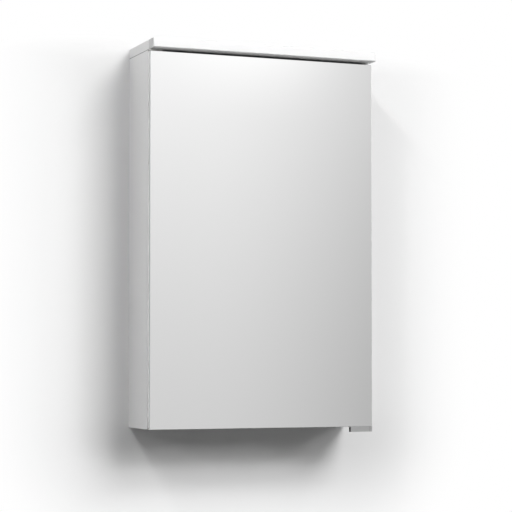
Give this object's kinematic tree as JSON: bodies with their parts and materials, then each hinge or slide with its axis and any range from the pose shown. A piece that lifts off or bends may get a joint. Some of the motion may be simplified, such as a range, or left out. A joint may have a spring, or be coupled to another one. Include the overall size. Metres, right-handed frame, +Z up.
{
  "type": "lighted mirror cabinet",
  "caption": "Narrow wall-hung white cabinet with a full-height mirror door on pivots, a light profile over the door, glass shelves and a finger grip.",
  "frame": {"origin": "middle of the wall rail's screw line, on the wall plane", "axes": "+Z up, +Y into the wall the rail is screwed to, +X to the right seen from the room"},
  "size_m": [0.4, 0.1295, 0.649],
  "materials": {
    "white_board": "white melamine, satin",
    "dowel_wood": "raw beech",
    "shelf_glass": "clear, polished edges",
    "plated_steel": "nickel plated",
    "white_aluminium": "white powder coat, satin",
    "grey_plastic": "fine spark texture",
    "circuit_board": "white solder mask",
    "light_chip": "phosphor",
    "opal_plastic": "opal, frosted",
    "lead_sheath": "smooth sheath",
    "white_plastic": "moulded, satin",
    "galvanised_steel": "zinc coated",
    "bush_plastic": "moulded",
    "magnet": "sintered",
    "mirror_glass": "silvered, polished edge",
    "anodised_aluminium": "satin anodised",
    "black_plastic": "moulded",
    "clear_rubber": "soft clear dot"
  },
  "bodies": {
    "cabinet": {"side_panel_left": "white_board", "side_panel_right": "white_board", "top_board": "white_board", "bottom_panel": "white_board", "back_panel": "white_board", "carcass_dowels": "dowel_wood", "glass_shelf_lower": "shelf_glass", "glass_shelf_middle": "shelf_glass", "glass_shelf_upper": "shelf_glass", "shelf_pins": "plated_steel", "light_profile": "white_aluminium", "end_cap_left": "grey_plastic", "end_cap_right": "grey_plastic", "led_board": "circuit_board", "led_chips": "light_chip", "light_diffuser": "opal_plastic", "profile_screws": "plated_steel", "strip_lead": "lead_sheath", "led_driver": "white_plastic", "driver_screws": "plated_steel", "driver_lead": "lead_sheath", "terminal_box": "grey_plastic", "terminal_lid": "grey_plastic", "terminal_block": "white_plastic", "cable_gland": "grey_plastic", "switch_box": "white_plastic", "switch_lead": "lead_sheath", "wall_rail": "galvanised_steel", "hanger_left": "galvanised_steel", "hanger_right": "galvanised_steel", "hanger_hooks": "galvanised_steel", "adjusting_screws": "plated_steel", "access_caps": "white_plastic", "pivot_plate_top": "plated_steel", "pivot_plate_bottom": "plated_steel", "pivot_pins": "plated_steel", "pivot_plate_screws": "plated_steel", "catch_housing": "white_plastic", "catch_magnet": "magnet", "catch_screws": "plated_steel"},
    "door": {"door_panel": "white_board", "mirror_front": "mirror_glass", "mirror_inner": "mirror_glass", "door_grip": "anodised_aluminium", "grip_end_caps": "black_plastic", "grip_screws": "plated_steel", "door_bumpers": "clear_rubber", "pivot_bushes": "bush_plastic", "strike_plate": "plated_steel", "strike_screws": "plated_steel"},
    "rocker": {"switch_rocker": "white_plastic"}
  },
  "joints": [
    {"name": "door_swing", "type": "hinge", "parent": "cabinet", "child": "door", "pos_m": [-0.196, -0.1045, 0], "axis": [0, 0, -1], "range_deg": [0, 100]},
    {"name": "rocker_tilt", "type": "hinge", "parent": "cabinet", "child": "rocker", "pos_m": [0.11, -0.0405, 0.041], "axis": [-1, 0, 0], "range_deg": [0, 16]}
  ]
}
